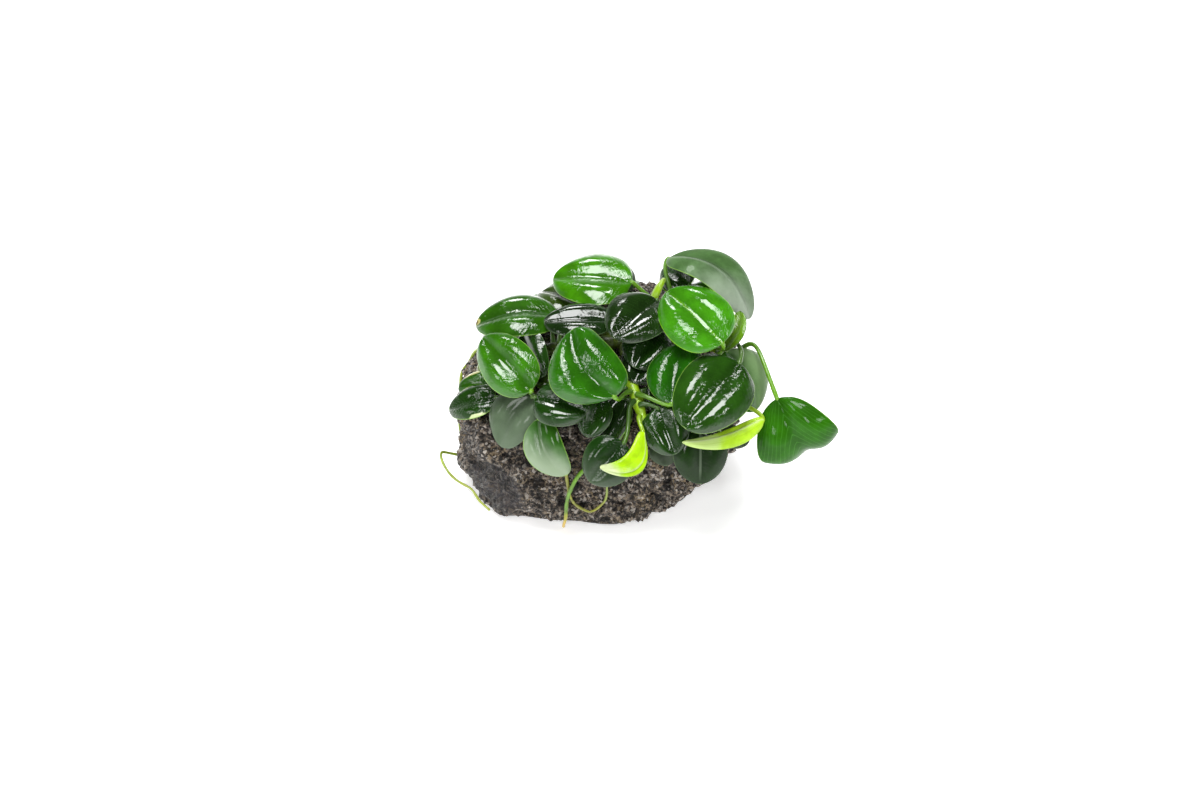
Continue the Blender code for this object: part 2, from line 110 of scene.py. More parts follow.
LEAVES = {
    "leaf_top_left": LeafLook(FRESH, ripple=0.15),
    "leaf_far_left": LeafLook(MID_GREEN, scars=((0.3, 1.0, 0.5, 0.07, STRAW, True),)),
    "leaf_behind_left": LeafLook(OLIVE),
    "leaf_back_grey": LeafLook(PAINTED_SHEEN_GREY_GREEN, gloss=0.3, rim=DULL_RIM),
    "leaf_bright_left": LeafLook((0.030, 0.150, 0.002), cushion=0.15),
    "leaf_dark_narrow": LeafLook(DEEP, rim=DULL_RIM),
    "leaf_top_dark": LeafLook(BLACK_GREEN, rim=DULL_RIM),
    "leaf_centre": LeafLook((0.019, 0.118, 0.002), cushion=0.3),
    "leaf_round_dark": LeafLook((0.009, 0.030, 0.003), ripple=0.2, rim=DULL_RIM, cushion=0.15),
    "leaf_stack_mid": LeafLook((0.008, 0.034, 0.003), rim=DULL_RIM),
    "leaf_stack_low": LeafLook(BLACK_GREEN, rim=DULL_RIM),
    "leaf_bright_right": LeafLook((0.044, 0.235, 0.004), midrib=LIME, midrib_strength=0.25, rim=LIME,
                                  cushion=0.2),
    "leaf_top_right": LeafLook((0.066, 0.146, 0.042), midrib=DEEP, midrib_strength=0.5,
                               sheen=(0.8, 0.25, 0.9, 0.35), sheen_colour=(0.36, 0.42, 0.34), gloss=0.12,
                               ripple=0.1),
    "leaf_back_top_dark": LeafLook(DEEP, rim=LIME),
    "leaf_curled_right": LeafLook((0.13, 0.30, 0.01), rim=DEEP),
    "leaf_mid_right": LeafLook((0.011, 0.092, 0.001)),
    "leaf_big_dark": LeafLook((0.014, 0.060, 0.003), cushion=0.25),
    "leaf_right_behind": LeafLook((0.026, 0.140, 0.002), sheen=(0.95, -0.8, 0.1, -0.35),
                                  sheen_colour=(0.17, 0.27, 0.12), gloss=0.5),
    "leaf_drooping_right": LeafLook((0.020, 0.118, 0.001), veins=0.35, lean=0.95, vein_count=9, gloss=0.25,
                                    ripple=0.1),
    "leaf_low_right": LeafLook((0.007, 0.028, 0.002), midrib_strength=0.5, midrib=SHEEN, rim=DULL_RIM,
                               gloss=0.4),
    "leaf_low_right_small": LeafLook(PAINTED_SHEEN_GREY_GREEN, gloss=0.3, rim=DULL_RIM),
    "leaf_low_right_dark": LeafLook(DEEP, rim=DULL_RIM),
    "leaf_low_pale": LeafLook(PAINTED_SHEEN_GREY_GREEN, gloss=0.3, rim=DULL_RIM),
    "leaf_low_mid": LeafLook((0.006, 0.030, 0.002), sheen=(0.6, -0.1, 1.0, 0.30),
                             sheen_colour=(0.075, 0.11, 0.065), gloss=0.6, rim=DULL_RIM),
    "leaf_low_behind": LeafLook(BLACK_GREEN, rim=DULL_RIM),
    "leaf_low_mid_dark": LeafLook(DEEP, rim=DULL_RIM),
    "leaf_slit": LeafLook(BLACK_GREEN, rim=DULL_RIM),
    "leaf_dark_left_mid": LeafLook((0.008, 0.038, 0.002), rim=DULL_RIM, cushion=0.15),
    # Grey base colour and sheen: a painted reflection of the pale surroundings.
    "leaf_grey_left": LeafLook((0.055, 0.085, 0.045), sheen=(0.8, -0.3, 0.5, -0.1),
                               sheen_colour=(0.125, 0.175, 0.110), gloss=0.25, rim=SHEEN),
    "leaf_low_left": LeafLook((0.020, 0.090, 0.004), sheen=(0.95, 0.35, 1.0, 0.15),
                              sheen_colour=(0.28, 0.36, 0.24), gloss=0.35, midrib=SHEEN,
                              midrib_strength=0.3),
    "leaf_left_under": LeafLook(DEEP, scars=((1.0, 0.75, 0.25, 0.25, STRAW, False),
                                             (-1.0, 0.35, 0.2, 0.2, CREAM, False))),
    "leaf_left_torn": LeafLook(MID_GREEN, scars=((0.9, 0.7, 0.35, 0.30, STRAW, False),)),
    "leaf_olive_mid": LeafLook(OLIVE),
    "leaf_back_mid": LeafLook(LEAF_GREEN),
    "leaf_back_mid_left": LeafLook(MID_GREEN),
    "leaf_back_left_high": LeafLook(LEAF_GREEN),
    "leaf_back_left_low": LeafLook(DEEP),
    "leaf_back_right": LeafLook(MID_GREEN),
    "leaf_right_back": LeafLook(LEAF_GREEN),
}

# Rolled young leaves: colour at the stalk, colour of the tip, where the tip's colour begins, and on which
# side the outer margin lies.
YOUNG_LEAVES = {
    "young_front": ((0.38, 0.68, 0.001), CREAM, 0.70, 1),
    "young_right": ((0.42, 0.70, 0.02), (0.48, 0.66, 0.19), 0.5, -1),
    "young_top": ((0.28, 0.50, 0.010), (0.34, 0.52, 0.05), 0.8, 1),
}

# Stalks: colour near the blade, and near the rhizome.
STALK_COLOURS = {
    "fresh": ((0.14, 0.34, 0.012), (0.065, 0.16, 0.01)),
    "deep": ((0.055, 0.13, 0.01), (0.025, 0.07, 0.008)),
    "young": ((0.26, 0.43, 0.012), (0.19, 0.34, 0.012)),
}

# Roots: colour where they leave the rhizome, and of the growing end.
ROOTS = {
    "root_left_loop": ((0.24, 0.33, 0.02), (0.34, 0.40, 0.05)),
    "root_front_thick": ((0.12, 0.28, 0.012), (0.62, 0.40, 0.02)),
    "root_front_loop": ((0.27, 0.28, 0.03), (0.22, 0.30, 0.05)),
    "root_back": ((0.18, 0.28, 0.02), (0.34, 0.32, 0.05)),
    "root_back_left": ((0.20, 0.29, 0.02), (0.32, 0.33, 0.05)),
}

# Rhizome branches, and the share of each that is old before its young green end.
RHIZOMES = {
    "rhizome_main": 0.75,
    "rhizome_front": 0.25,
    "rhizome_left": 0.5,
    "rhizome_back": 0.6,
    "rhizome_back_right": 0.6,
}

# The modelled rings: points round each one, and two of a blade's rings, counted from its tip.
LEAF_SIDES = 8  # the rhizome's too
ROOT_SIDES = 6
MIDDLE_RING = 2
BASE_RING = 6

MARGIN_STOP = 0.98  # keeps the outermost columns of a blade apart: at 1 they would fall together
CAP_TURNS = (30, 60, 89)  # degrees round a tube's rounded end
CAP_LENGTH = 0.8  # of the tube's radius

STONE_FACES = 45000
# A smooth dark hollow at the front left of the stone, its streaks partly its own dark colour and partly
# painted shade: its middle and reach in millimetres.
DARK_HOLLOW_PLACE = Vector((-32, -24, 13))
DARK_HOLLOW_REACH = 12

# Lights: where each comes from, the strength setting it follows, its share of that, its width in degrees.
LIGHTS = {
    "key_light": ((-0.14, -0.04, 0.98), "key", 0.85, 27),
    "key_light_right": ((0.17, 0.14, 0.97), "key", 0.15, 9),
    "front_light": ((-0.18, -0.78, 0.60), "fill", 0.4, 15),
    "front_light_right": ((0.50, -0.50, 0.70), "fill", 0.30, 12),
    "left_light": ((-0.72, -0.42, 0.55), "fill", 0.25, 16),
    "back_light": ((-0.12, 0.68, 0.72), "fill", 0.6, 15),
}


# Settings -------------------------------------------------------------------------------------------


class LeafSettings(bpy.types.PropertyGroup):
    thickness: FloatProperty(name="Blade Thickness", description="Thickness of a grown blade",
                             default=0.34 * MM, min=0.1 * MM, max=0.5 * MM, precision=5, unit="LENGTH")
    midrib_depth: FloatProperty(name="Midrib Depth",
                                description="How deep the midrib is sunk into the blade",
                                default=0.24 * MM, min=0, max=0.4 * MM, precision=5, unit="LENGTH")
    midrib_width: FloatProperty(name="Midrib Width", description="Width of the sunken midrib",
                                default=3.6 * MM, min=0.2 * MM, max=5 * MM, precision=5, unit="LENGTH")
    stalk_swell: FloatProperty(name="Stalk Swell",
                               description="Thickness of the stalks against the model's",
                               default=1.0, min=0.5, max=1.1, subtype="FACTOR")
    rows: IntProperty(name="Rows", description="Rows of points along a blade", default=56, min=12, max=90)
    columns: IntProperty(name="Columns", description="Points across a blade", default=37, min=9, max=61)
    wetness: FloatProperty(name="Wetness", description="Strength of the film of water on the blades",
                           default=0.85, min=0, max=1, subtype="FACTOR")
    underside: FloatVectorProperty(name="Underside", description="Colour of the undersides", size=3,
                                   default=(0.050, 0.120, 0.022), min=0, max=1, subtype="COLOR")


class RootSettings(bpy.types.PropertyGroup):
    rhizome: FloatVectorProperty(name="Rhizome", description="Colour of the older rhizome", size=3,
                                 default=(0.080, 0.125, 0.008), min=0, max=1, subtype="COLOR")
    growing_tip: FloatVectorProperty(name="Growing Tip", description="Colour of the rhizome's young end",
                                     size=3, default=(0.30, 0.52, 0.008), min=0, max=1, subtype="COLOR")
    scar_spacing: FloatProperty(name="Scar Spacing", description="Distance between old leaf scars",
                                default=2.6 * MM, min=1 * MM, max=8 * MM, precision=5, unit="LENGTH")


class StoneSettings(bpy.types.PropertyGroup):
    pit_depth: FloatProperty(name="Pit Depth", description="Depth of the largest pits in the stone",
                             default=2.4 * MM, min=0, max=3 * MM, precision=5, unit="LENGTH")
    grain: FloatProperty(name="Grain", description="Height of the stone's coarse grain",
                         default=0.7 * MM, min=0, max=1 * MM, precision=5, unit="LENGTH")
    dark: FloatVectorProperty(name="Dark", description="Darkest colour of the stone", size=3,
                              default=(0.006, 0.004, 0.003), min=0, max=1, subtype="COLOR")
    light: FloatVectorProperty(name="Light", description="Lightest common colour of the stone", size=3,
                               default=(0.34, 0.275, 0.215), min=0, max=1, subtype="COLOR")
    ochre: FloatVectorProperty(name="Ochre", description="Colour of the mineral stains", size=3,
                               default=(0.28, 0.20, 0.085), min=0, max=1, subtype="COLOR")


class StageSettings(bpy.types.PropertyGroup):
    view_height: FloatProperty(name="View Height", description="Elevation of the camera",
                               default=math.radians(38), subtype="ANGLE")
    view_distance: FloatProperty(name="View Distance", description="Distance of the camera",
                                 default=0.865, unit="LENGTH")
    aim_height: FloatProperty(name="Aim Height", description="Height of the point the camera looks at",
                              default=0.027, unit="LENGTH")
    floor: FloatVectorProperty(name="Floor", description="Colour of the floor", size=3,
                               default=(0.92, 0.92, 0.92), min=0, max=1, subtype="COLOR")
    key: FloatProperty(name="Key Light", description="Strength of the lights from above", default=3.0,
                       min=0)
    fill: FloatProperty(name="Fill Light", description="Strength of the lights from front, left and back",
                        default=1.7, min=0)


# Reading the modelled pieces ------------------------------------------------------------------------


def welded(node):
    """The node's points, each once, the points each is joined to, and its faces."""
    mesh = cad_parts[node].data
    places, keys = {}, []
    for vert in mesh.vertices:
        key = tuple(round(c, 6) for c in vert.co)
        keys.append(places.setdefault(key, len(places)))
    links = [set() for _ in places]
    faces = []
    for face in mesh.polygons:
        corners = [keys[i] for i in face.vertices]
        if len(set(corners)) < 3:
            continue
        faces.append(corners)
        for a, b in zip(corners, corners[1:] + corners[:1]):
            links[a].add(b)
            links[b].add(a)
    return np.array(list(places)), links, faces


def end_caps(points, faces, sides):
    """The flat ends of a tube: each is its corner points, in order round the end."""
    corners = points[np.array([face[:3] for face in faces])]
    normals = unit(np.cross(corners[:, 1] - corners[:, 0], corners[:, 2] - corners[:, 0]))
    caps = []
    for face, normal in enumerate(normals):
        apart = np.abs((corners - corners[face, 0]) @ normal).max(axis=1)
        ring = {i for f in np.flatnonzero((normals @ normal > 0.999) & (apart < 2e-5)) for i in faces[f]}
        spots = points[sorted(ring)]
        radii = np.linalg.norm(spots - spots.mean(axis=0), axis=1)
        if len(ring) == sides and radii.max() < 1.2 * radii.min():
            caps.append(in_order(ring, points))
    return caps


def in_order(ring, points):
    """The ring's points in order round their middle."""
    ring = sorted(ring)
    spots = points[ring]
    middle = spots.mean(axis=0)
    _, _, axes = np.linalg.svd(spots - middle)
    flat = (spots - middle) @ axes[:2].T
    turns = np.arctan2(flat[:, 1] / (np.ptp(flat[:, 1]) + 1e-9), flat[:, 0] / (np.ptp(flat[:, 0]) + 1e-9))
    return [ring[i] for i in np.argsort(turns)]


def rings_of(node, sides):
    """(rings, tip) of a node that is a skin over rings: rings as an array of (ring, side, xyz).

    The rings start at the flat end. tip is the point of the other end, or None where that is flat too.
    """
    points, links, faces = welded(node)
    cap = end_caps(points, faces, sides)
    if not cap:
        raise RuntimeError(f"{node} has no flat end")
    rings, seen = [cap[0]], set(cap[0])
    tip = None
    while len(seen) < len(points):
        near = sorted({b for a in rings[-1] for b in links[a]} - seen)
        seen.update(near)
        if len(near) == 1:
            tip = points[near[0]]
            break
        if len(near) != sides:
            raise RuntimeError(f"{node} has a ring of {len(near)} points")
        rings.append(matched(near, rings[-1], points, links))
    return np.array([points[ring] for ring in rings]), tip


def matched(ring, last, points, links):
    """The ring's points in the order that joins each to the same side of the last ring."""
    best = None
    ordered = [ring[0]]
    while len(ordered) < len(ring):
        ordered.append(next(i for i in sorted(links[ordered[-1]]) if i in ring and i not in ordered))
    for way in (ordered, ordered[::-1]):
        for shift in range(len(way)):
            turned = way[shift:] + way[:shift]
            joined = sum(b in links[a] for a, b in zip(last, turned))
            cost = sum(np.linalg.norm(points[a] - points[b]) for a, b in zip(last, turned)) / (1 + joined)
            if best is None or cost < best[0]:
                best = cost, turned, joined
    return best[1]


# Curves and meshes ----------------------------------------------------------------------------------


def spline(knots, places):
    """Points on a smooth curve through the knots, at places counted in knots."""
    knots = np.asarray(knots, dtype=float)
    count = len(knots)
    flat = knots.reshape(count, -1)
    matrix = np.eye(count)
    for i in range(1, count - 1):
        matrix[i, i - 1:i + 2] = 1, 4, 1
    bends = np.zeros_like(flat)
    bends[1:-1] = 6 * (flat[:-2] - 2 * flat[1:-1] + flat[2:])
    bends = np.linalg.solve(matrix, bends)
    places = np.clip(np.asarray(places, dtype=float), 0, count - 1)
    start = np.minimum(places.astype(int), count - 2)
    t = (places - start)[:, None]
    curve = (flat[start] * (1 - t) + flat[start + 1] * t
             + ((1 - t) ** 3 - (1 - t)) * bends[start] / 6 + (t ** 3 - t) * bends[start + 1] / 6)
    return curve.reshape((len(places),) + knots.shape[1:])


def centres_and_sizes(rings):
    """The middle of each ring, and its points' mean distance from there."""
    centres = rings.mean(axis=1)
    return centres, np.linalg.norm(rings - centres[:, None], axis=2).mean(axis=1)


def unit(vectors):
    return vectors / np.maximum(np.linalg.norm(vectors, axis=-1, keepdims=True), 1e-12)


def smoothstep(low, high, values):
    t = np.clip((values - low) / (high - low), 0, 1)
    return t * t * (3 - 2 * t)


def seed_of(name):
    return sum((i + 1) * ord(letter) for i, letter in enumerate(name)) % 9973


def waves(seed, x, y, count=5):
    """Gentle uneven waves over x and y, between about -1 and 1."""
    rng = np.random.default_rng(seed)
    total = np.zeros_like(x)
    for _ in range(count):
        angle, phase = rng.uniform(0, 2 * math.pi, 2)
        pace = rng.uniform(0.6, 1.6)
        total += np.sin((math.cos(angle) * x + math.sin(angle) * y) * pace + phase)
    return total / count * 1.6


class Skin:
    """Points, faces, two sets of texture places and each face's material, gathered for one mesh."""

    def __init__(self):
        self.points = []
        self.faces = []
        self.places = []
        self.ranges = []
        self.materials = []

    def add_grid(self, points, places, ranges, material=0, flip=False, closed=False):
        """A sheet of points as (row, column, xyz), closed round its columns or open."""
        rows, columns = points.shape[:2]
        start = sum(len(p) for p in self.points)
        self.points.append(points.reshape(-1, 3))
        self.places.append(places.reshape(-1, 2))
        self.ranges.append(ranges.reshape(-1, 2))
        last = columns if closed else columns - 1
        for r in range(rows - 1):
            for c in range(last):
                d = (c + 1) % columns
                quad = (start + r * columns + c, start + r * columns + d,
                        start + (r + 1) * columns + d, start + (r + 1) * columns + c)
                self.faces.append(quad[::-1] if flip else quad)
                self.materials.append(material)

    def add_sheet(self, top, bottom, places, ranges, under):
        """Both faces of a thin sheet, and the strips that close it along its first and last columns."""
        self.add_grid(top, places, ranges, 0)
        self.add_grid(bottom, places, ranges, under, flip=True)
        for column, flip in ((0, True), (-1, False)):
            strip = np.stack([top[:, column], bottom[:, column]], axis=1)
            self.add_grid(strip, np.repeat(places[:, column][:, None], 2, axis=1),
                          np.repeat(ranges[:, column][:, None], 2, axis=1), 0, flip=flip)

    def make(self, name, materials):
        mesh = bpy.data.meshes.new(name)
        points = np.concatenate(self.points)
        mesh.from_pydata(points.tolist(), [], self.faces)
        corners = np.array([v for face in self.faces for v in face])
        for layer, values in (("place", self.places), ("reach", self.ranges)):
            uv = mesh.uv_layers.new(name=layer)
            uv.data.foreach_set("uv", np.concatenate(values)[corners].astype(np.float32).ravel())
        mesh.polygons.foreach_set("material_index", self.materials)
        for material in materials:
            mesh.materials.append(material)
        shape = bmesh.new()
        shape.from_mesh(mesh)
        bmesh.ops.remove_doubles(shape, verts=shape.verts, dist=WELD)
        bmesh.ops.dissolve_degenerate(shape, edges=shape.edges, dist=1e-7)
        shape.to_mesh(mesh)
        shape.free()
        mesh.shade_smooth()
        piece = bpy.data.objects.new(name, mesh)
        bpy.context.scene.collection.objects.link(piece)
        return piece


def add_tube(skin, route, radii, sides, material, first_side=(0, 0, 1), bump=None):
    """A round tube along the route, with a rounded end at each end."""
    route, radii = np.asarray(route, dtype=float), np.asarray(radii, dtype=float)
    along = unit(np.gradient(route, axis=0))
    lengths = np.concatenate([[0], np.cumsum(np.linalg.norm(np.diff(route, axis=0), axis=1))])
    turns = np.linspace(0, 2 * math.pi, sides, endpoint=False)
    side = np.array(first_side, dtype=float)
    rings, places = [], []
    for i, (centre, way, radius) in enumerate(zip(route, along, radii)):
        side = side - way * (side @ way)
        if np.linalg.norm(side) < 1e-6:
            side = np.cross(way, (1.0, 0.3, 0.2))
        side = unit(side)
        other = np.cross(way, side)
        reach = radius * (1 if bump is None else bump(lengths[i], turns))
        rings.append(centre + (reach * np.cos(turns))[:, None] * side
                     + (reach * np.sin(turns))[:, None] * other)
        places.append(np.stack([turns / (2 * math.pi), np.full(sides, lengths[i] / lengths[-1])], axis=1))
    caps = []
    for index, way in ((0, -1), (-1, 1)):
        out = along[index] * way * radii[index] * CAP_LENGTH
        caps.append([route[index] + (rings[index] - route[index]) * math.cos(a) + out * math.sin(a)
                     for a in map(math.radians, CAP_TURNS)])
    count = len(CAP_TURNS)
    rings = np.array(caps[0][::-1] + rings + caps[1])
    places = np.array([places[0]] * count + places + [places[-1]] * count)
    skin.add_grid(rings, places, np.zeros_like(places), material, closed=True)


def settle(piece, node):
    """Puts a finished piece in the frame in the place of its modelled node."""
    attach(piece, "root")
    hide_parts(node)


# Grown leaves ---------------------------------------------------------------------------------------


def blade_and_stalk(node):
    """The modelled leaf as (tip, rings from the tip to the blade's base, rings of the stalk to its foot).

    Side 0 of each ring is one margin, side 4 the other and side 2 the middle of the upper face.
    """
    rings, tip = rings_of(node, LEAF_SIDES)
    rings = rings[::-1]
    widths = np.linalg.norm(rings[MIDDLE_RING][:4] - rings[MIDDLE_RING][4:], axis=1)
    rings = np.roll(rings, -int(np.argmax(widths)), axis=1)
    base = rings[BASE_RING].mean(axis=0)
    middle = (rings[MIDDLE_RING][2] + rings[MIDDLE_RING][6]) / 2
    along = unit(tip - base)
    bulge = middle - (base + along * ((middle - base) @ along))
    if (rings[MIDDLE_RING][2] - rings[MIDDLE_RING][6]) @ bulge < 0:
        rings = np.roll(rings[:, ::-1], 1, axis=1)
    face = rings[MIDDLE_RING][2] - rings[MIDDLE_RING][6]
    if (rings[MIDDLE_RING][4] - rings[MIDDLE_RING][0]) @ np.cross(along, face) < 0:
        rings = np.roll(rings[:, ::-1], 5, axis=1)
    return tip, rings[:BASE_RING + 1], rings[BASE_RING:]


def middles(ring):
    """Five points across a blade's ring, halfway through its thickness."""
    return np.array([ring[0], *((ring[i] + ring[8 - i]) / 2 for i in (1, 2, 3)), ring[4]])


def spread_across(columns):
    """Places across a blade from -1 to 1, closer together towards the margins."""
    stop = math.pi / 2 * MARGIN_STOP
    return np.sin(np.linspace(-stop, stop, columns)) / math.sin(stop)


def blade_sheet(tip, rings, rows, columns):
    """The blade's middle surface from tip to base as (row, column, xyz)."""
    across = [middles(ring) for ring in rings[:BASE_RING]]
    base = np.repeat(rings[BASE_RING].mean(axis=0)[None], 5, axis=0)
    point = np.repeat(tip[None], 5, axis=0)
    knots = [across[0][::-1], point, *across, base, across[5][::-1]]
    sheet = spline(knots, 1 + 7 * np.linspace(0, 1, rows))
    turned = spline(np.swapaxes(sheet, 0, 1), 2 + 2 * spread_across(columns))
    return np.swapaxes(turned, 0, 1)


def sheet_normals(sheet, face):
    normals = unit(np.cross(np.gradient(sheet, axis=1), np.gradient(sheet, axis=0)))
    normals[0], normals[-1] = normals[1].mean(axis=0), normals[-2].mean(axis=0)
    normals = unit(normals)
    if normals.reshape(-1, 3).mean(axis=0) @ face < 0:
        normals = -normals
    return normals


def distance_to(points, line):
    """Distance of each point of a sheet from the nearest point of a line of points."""
    gaps = np.linalg.norm(points[:, :, None, :] - line[None, None, :, :], axis=3)
    return gaps.min(axis=2)


def make_leaf(node, look, settings):
    tip, rings, stalk = blade_and_stalk(node)
    rows, columns = settings.rows, settings.columns
    sheet = blade_sheet(tip, rings, rows, columns)
    face = rings[MIDDLE_RING][2] - rings[MIDDLE_RING][6]
    normals = sheet_normals(sheet, face)
    width = np.linalg.norm(rings[MIDDLE_RING][4] - rings[MIDDLE_RING][0])
    length = np.linalg.norm(tip - rings[BASE_RING].mean(axis=0))
    turn = np.linspace(0, 1, rows)[:, None] * np.ones((1, columns))
    along = (1 + np.cos(math.pi * turn)) / 2
    across = np.ones((rows, 1)) * spread_across(columns)

    centre_line = sheet[:, columns // 2]
    margin = np.concatenate([sheet[:, 0], sheet[:, -1]])
    from_rib = distance_to(sheet, centre_line)
    from_edge = distance_to(sheet, margin)
    seed = seed_of(node)
    broad = waves(seed, across * width * 200, along * length * 200) * 0.08 * MM
    ripple = waves(seed + 1, along * length * 480, across * 1.3, 4) * look.ripple * MM * np.abs(across) ** 3
    ripple *= smoothstep(0, 0.12, along) * smoothstep(1, 0.88, along)
    cushion = look.cushion * MM * np.sin(math.pi * np.abs(across)) ** 1.3 * np.sin(math.pi * turn) ** 0.7
    groove = np.exp(-(from_rib / (settings.midrib_width / 2)) ** 2) * smoothstep(0.0, 0.10, along)
    groove *= smoothstep(1.0, 0.72, along) * settings.midrib_depth * smoothstep(0.0, 0.6 * MM, from_edge)
    height = broad + ripple + cushion
    thick = settings.thickness / 2 * np.sqrt(np.clip(1 - np.abs(across) ** 8, 0.12, 1))
    top = sheet + normals * (height + thick - groove)[..., None]
    bottom = sheet + normals * (height - thick - groove * 0.6)[..., None]

    places = np.stack([(across + 1) / 2, along], axis=2)
    ranges = np.stack([from_edge / CM, from_rib / CM], axis=2)
    skin = Skin()
    skin.add_sheet(top, bottom, places, ranges, 1)

    route, radii = stalk_line(sheet, normals, stalk, settings)
    add_tube(skin, route, radii, 12, 2, first_side=unit(face))
    group = "fresh" if look.colour[1] > 0.06 else "deep"
    piece = skin.make(f"{node}_blade", [leaf_material(node, look, settings),
                                        under_material(settings, group), stalk_material(group)])
    settle(piece, node)
    return piece


def stalk_line(sheet, normals, stalk, settings):
    """The route and radii of a stalk, from its foot to where its rib fades out under the blade."""
    middle = sheet.shape[1] // 2
    centres, sizes = centres_and_sizes(stalk[::-1])
    places = np.linspace(0, len(centres) - 1, 26)
    # carried on by a point of the blade, so that the stalk runs straight into the midrib
    route = spline(np.concatenate([centres, sheet[-12:-11, middle]]), places)
    joint = 1 + 0.12 * np.exp(-((places - 2.75) / 0.18) ** 2)  # a slight swelling just before the blade
    radii = np.interp(places, np.arange(len(sizes)), sizes) * settings.stalk_swell * joint
    rows = len(sheet)
    under = np.arange(rows - 2, rows // 5, -2)
    share = (rows - 1 - under) / (rows - 1 - under[-1])
    rib = 0.60 * MM * (1 - share) ** 1.15 + 0.07 * MM
    sunk = rib * smoothstep(0, 0.22, share) + 0.02 * MM
    sunk = sunk + settings.thickness / 4 + settings.midrib_depth * 0.8 * smoothstep(0, 0.15, share)
    below = sheet[under, middle] - normals[under, middle] * sunk[:, None]
    return np.concatenate([route, below]), np.concatenate([radii, rib])


# Young leaves ---------------------------------------------------------------------------------------


def make_young_leaf(node, look):
    """A leaf that is still rolled up: one sheet wound a little more than once round."""
    colour, tip_colour, change, hand = look
    tip, rings, stalk = blade_and_stalk(node)
    rails = np.concatenate([np.repeat(tip[None, None], 8, axis=1), rings])
    rows, columns = 44, 61
    turn = np.linspace(0, 1, rows)
    fine = spline(rails, turn * 7)
    centre = (fine[:, 0] + fine[:, 4]) / 2
    side = fine[:, 4] - fine[:, 0]
    up = (fine[:, 2] - fine[:, 6]) / 2
    roll = np.linspace(-1.22, 1.16, columns) * math.pi  # a little more than one turn
    wound, down = np.meshgrid((roll - roll[0]) / (roll[-1] - roll[0]), turn)
    size = 0.80 + 0.20 * wound
    x = np.sin(roll) * size * hand
    z = -np.cos(roll) * size + 0.10 * wound
    half = np.linalg.norm(side, axis=1)[:, None] / 2
    tall = np.linalg.norm(up, axis=1)[:, None] * 1.05
    wave = waves(seed_of(node), wound * 5, down * 6) * 0.10 * MM * np.sin(math.pi * down)
    sheets = []
    for lift in (0.0, -0.16 * MM):
        offset = lift * np.minimum(1, half / (1.2 * MM))
        sheets.append(centre[:, None] + unit(side)[:, None] * (x * (half + offset))[..., None]
                      + unit(up)[:, None] * (z * (tall + offset) + wave)[..., None])
    places = np.stack([wound, (1 + np.cos(math.pi * down)) / 2], axis=2)
    edge = np.minimum(wound, 1 - wound) * half * 4 / CM
    skin = Skin()
    skin.add_sheet(*sheets, places, np.stack([edge, edge], axis=2), 0)
    centres, sizes = centres_and_sizes(stalk[::-1])
    steps = np.linspace(0, len(centres), 30)
    route = spline(np.concatenate([centres, centre[-10:-9]]), steps)
    radii = np.interp(steps, np.arange(len(sizes) + 1), np.append(sizes, 0.3 * MM))
    add_tube(skin, route, radii, 12, 1, first_side=unit(up[20]))
    piece = skin.make(f"{node}_roll", [young_material(node, colour, tip_colour, change),
                                       stalk_material("young")])
    settle(piece, node)
    return piece


# Rhizome and roots ----------------------------------------------------------------------------------


def make_rhizome(node, old_share, settings):
    centres, sizes = centres_and_sizes(rings_of(node, LEAF_SIDES)[0])
    count = max(30, int(len(centres) * 7))
    places = np.linspace(0, len(centres) - 1, count)
    route = spline(centres, places)
    radii = spline(sizes[:, None], places)[:, 0]
    seed = seed_of(node)
    spacing = settings.scar_spacing

    def knobs(length, turns):
        ridge = math.exp(-((length / spacing % 1 - 0.5) / 0.16) ** 2)
        lean = waves(seed, turns, np.full_like(turns, length * 300), 4)
        return 1 + 0.07 * (ridge - 0.4) * (1 + 0.6 * np.sin(turns + length / spacing * 2.4)) + 0.035 * lean

    skin = Skin()
    add_tube(skin, route, radii, 28, 0, bump=knobs)
    piece = skin.make(f"{node}_stem", [rhizome_material(node, old_share, settings)])
    settle(piece, node)
    return piece


def make_root(node, look):
    centres, sizes = centres_and_sizes(rings_of(node, ROOT_SIDES)[0])
    if sizes[0] < sizes[-1]:
        centres, sizes = centres[::-1], sizes[::-1]
    count = len(centres) * 8
    places = np.linspace(0, len(centres) - 1, count)
    route = spline(centres, places)
    rng = np.random.default_rng(seed_of(node))
    knots = rng.uniform(0.98, 1.30, len(centres) * 2)
    radii = spline(sizes[:, None], places)[:, 0] * np.interp(places * 2, np.arange(len(knots)), knots)
    skin = Skin()
    add_tube(skin, route, radii, 14, 0)
    piece = skin.make(f"{node}_strand", [root_material(node, *look)])
    settle(piece, node)
    return piece


# Stone ----------------------------------------------------------------------------------------------


def pit(spot, scale, seed):
    """Depth from 0 to 1 of the round pit nearest to a spot, with pits of different sizes."""
    distances, centres = noise.voronoi(spot * scale + Vector((seed, seed * 1.7, seed * 2.3)))
    size = 0.28 + 0.34 * noise.cell(centres[0] * 3.1)
    inside = 1 - distances[0] / max(size, 0.05)
    return math.sqrt(max(0.0, inside)) if inside > 0 else 0.0


